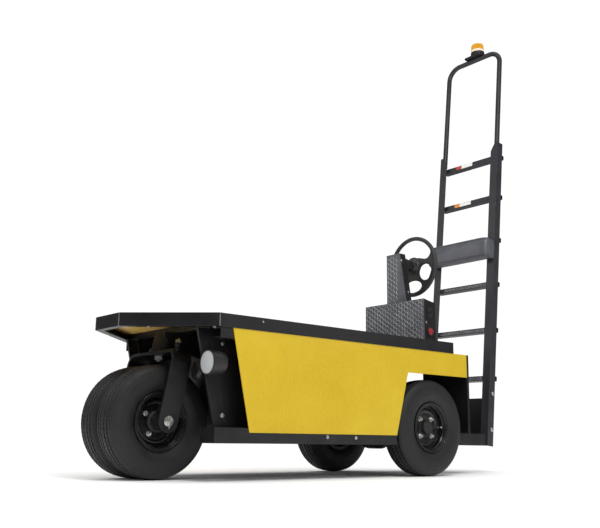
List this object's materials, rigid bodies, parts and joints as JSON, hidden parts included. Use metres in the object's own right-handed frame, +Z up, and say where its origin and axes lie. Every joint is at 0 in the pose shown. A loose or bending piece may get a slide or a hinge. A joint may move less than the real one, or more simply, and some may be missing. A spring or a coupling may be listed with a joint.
{
  "type": "stand-up burden carrier",
  "caption": "Low three-wheeled battery truck with a long flat deck, raked twin-wheel front fork, rear operator's platform, leaning picking ladder and beacon hoop.",
  "frame": {"origin": "centre of the bounding box at floor level", "axes": "+X forwards, towards the twin wheels; +Y to the vehicle's left; +Z up"},
  "size_m": [2.5465, 0.782, 2.6689],
  "materials": {
    "tyre": "worn black tread rubber",
    "yellow_paint": "gloss safety yellow",
    "black_paint": "satin black",
    "tread_plate": "black painted tread plate",
    "rim_black": "gloss black wheel enamel",
    "zinc": "bright zinc plate",
    "axle_black": "black painted casting",
    "spring_steel": "dark spring steel",
    "plywood": "bare plywood underside",
    "deck_cover": "dark non-slip deck cover",
    "black_plastic": "soft black moulding",
    "battery_case": "black battery case",
    "lamp_glass": "clear lens",
    "amber_lens": "amber lens",
    "red_button": "red button"
  },
  "bodies": {
    "chassis": {"backrest": "black_plastic", "battery_pack": "battery_case", "battery_tray": "black_paint", "beacon_base": "black_plastic", "beacon_hoop": "black_paint", "beacon_lens": "amber_lens", "column_shroud": "black_plastic", "console_box": "black_paint", "console_plate": "tread_plate", "deck_band": "black_paint", "deck_bearers": "black_paint", "deck_board": "plywood", "deck_cover": "deck_cover", "drive_axle": "axle_black", "front_posts": "black_paint", "head_bracket": "black_paint", "headlamp_housing": "black_plastic", "headlamp_lens": "lamp_glass", "horn": "black_paint", "kick_plate": "black_paint", "ladder_rungs": "black_paint", "ladder_uprights": "black_paint", "leaf_springs": "spring_steel", "pedals": "black_paint", "platform_floor": "tread_plate", "platform_frame": "black_paint", "rear_bulkhead": "black_paint", "side_liners": "black_paint", "side_panels": "yellow_paint", "side_rails": "black_paint", "spring_rails": "black_paint", "stop_button": "red_button", "tower_cover": "black_plastic"},
    "fork": {"fork": "black_paint", "front_axle": "zinc", "steering_arm": "black_paint"},
    "front_wheels": {"front_hub": "axle_black", "front_rims": "rim_black", "front_tyre_left": "tyre", "front_tyre_right": "tyre"},
    "rear_wheel_left": {"rear_hub_left": "axle_black", "rear_rim_left": "rim_black", "rear_tyre_left": "tyre"},
    "rear_wheel_right": {"rear_hub_right": "axle_black", "rear_rim_right": "rim_black", "rear_tyre_right": "tyre"},
    "steering_wheel": {"steering_wheel": "black_plastic"}
  },
  "joints": [
    {"name": "fork_steer", "type": "hinge", "parent": "chassis", "child": "fork", "pos_m": [1.04517, 0, 0.228], "axis": [-0.2079, 0, 0.9781], "range_deg": [-48, 48]},
    {"name": "front_wheels_spin", "type": "hinge", "parent": "fork", "child": "front_wheels", "pos_m": [1.04517, 0, 0.228], "axis": [0, 1, 0], "continuous": true},
    {"name": "rear_wheel_left_spin", "type": "hinge", "parent": "chassis", "child": "rear_wheel_left", "pos_m": [-0.29483, 0.322, 0.228], "axis": [0, 1, 0], "continuous": true},
    {"name": "rear_wheel_right_spin", "type": "hinge", "parent": "chassis", "child": "rear_wheel_right", "pos_m": [-0.29483, -0.322, 0.228], "axis": [0, 1, 0], "continuous": true},
    {"name": "steering_wheel_turn", "type": "hinge", "parent": "chassis", "child": "steering_wheel", "pos_m": [-0.60983, 0, 1.117], "axis": [-1, 0, 0], "range_deg": [-300, 300]}
  ],
  "couplings": [
    {"joint": "steering_wheel_turn", "follows": "fork_steer", "ratio": 6}
  ]
}
